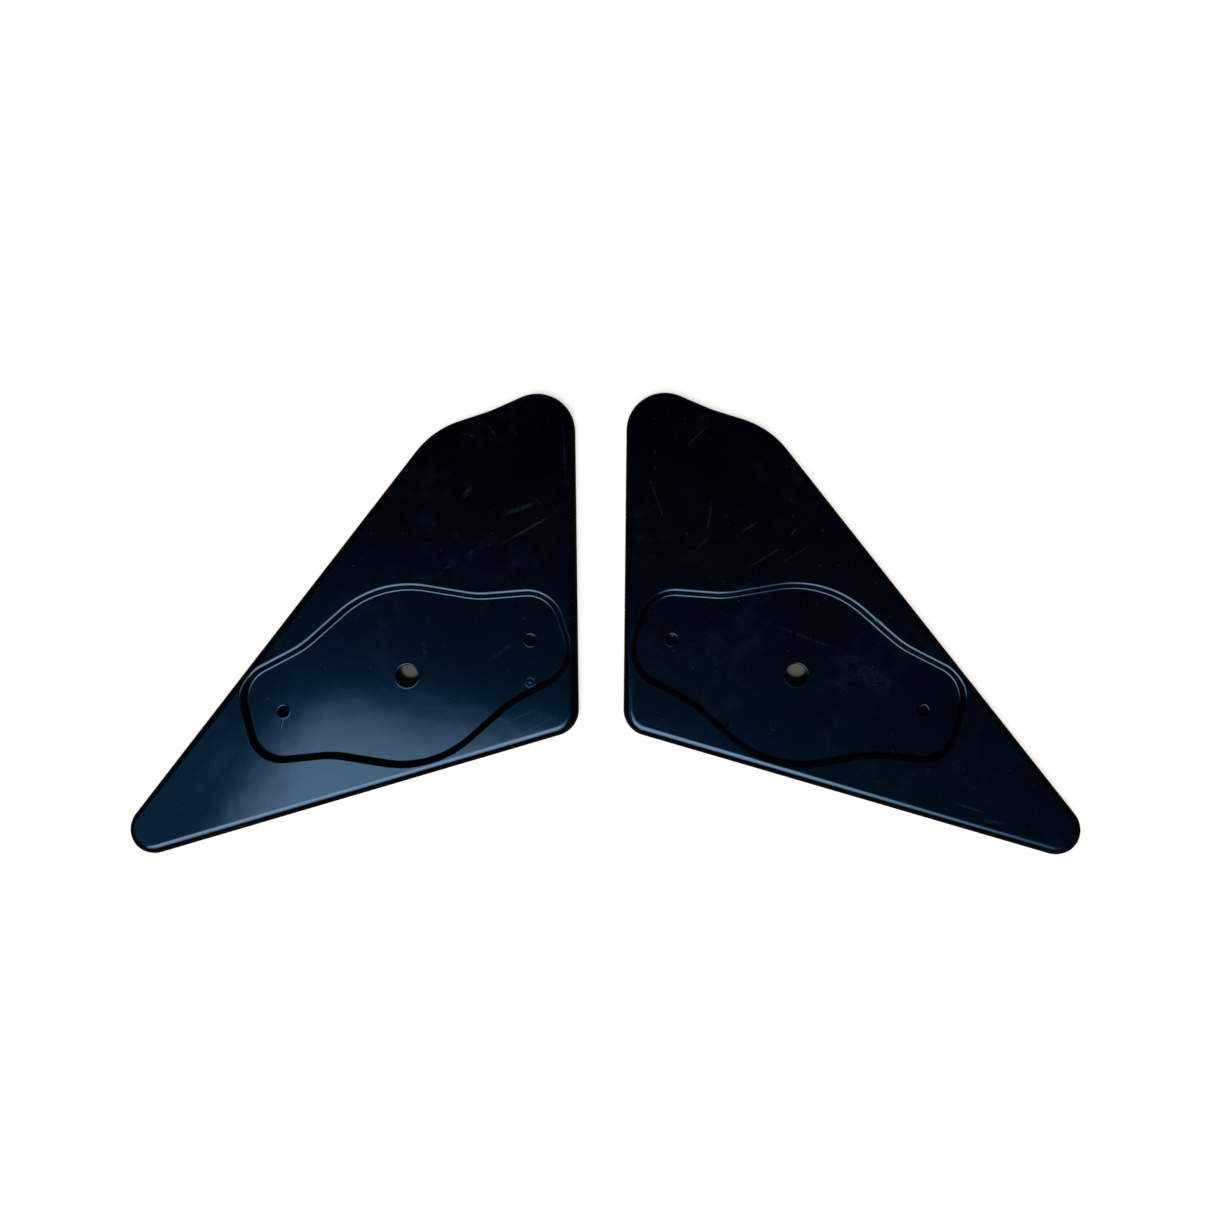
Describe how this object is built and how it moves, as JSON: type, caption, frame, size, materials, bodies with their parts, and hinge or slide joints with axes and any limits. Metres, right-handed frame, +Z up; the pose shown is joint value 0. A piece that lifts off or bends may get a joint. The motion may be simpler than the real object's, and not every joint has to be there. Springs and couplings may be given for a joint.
{
  "type": "vehicle corner cover panel pair",
  "caption": "Mirror-image left and right triangular moulded panels with rolled edges, a sunken seat for a mirror or arm foot, and plain fixing holes, lying face up.",
  "frame": {"origin": "midway between the two panels, on the surface that they rest on", "axes": "+X from the left panel towards the right panel, +Y from the pointed tips towards the round heads, +Z up out of the panels' faces"},
  "size_m": [0.4644, 0.2304, 0.008],
  "materials": {
    "panel_plastic": "gloss, blue-black, lightly scuffed"
  },
  "bodies": {
    "left_panel": {"left_panel": "panel_plastic"},
    "right_panel": {"right_panel": "panel_plastic"}
  },
  "joints": [
    {"name": "right_panel_lift", "type": "slide", "parent": "left_panel", "child": "right_panel", "axis": [0, 0, 1], "range_m": [0, 0.1]}
  ]
}
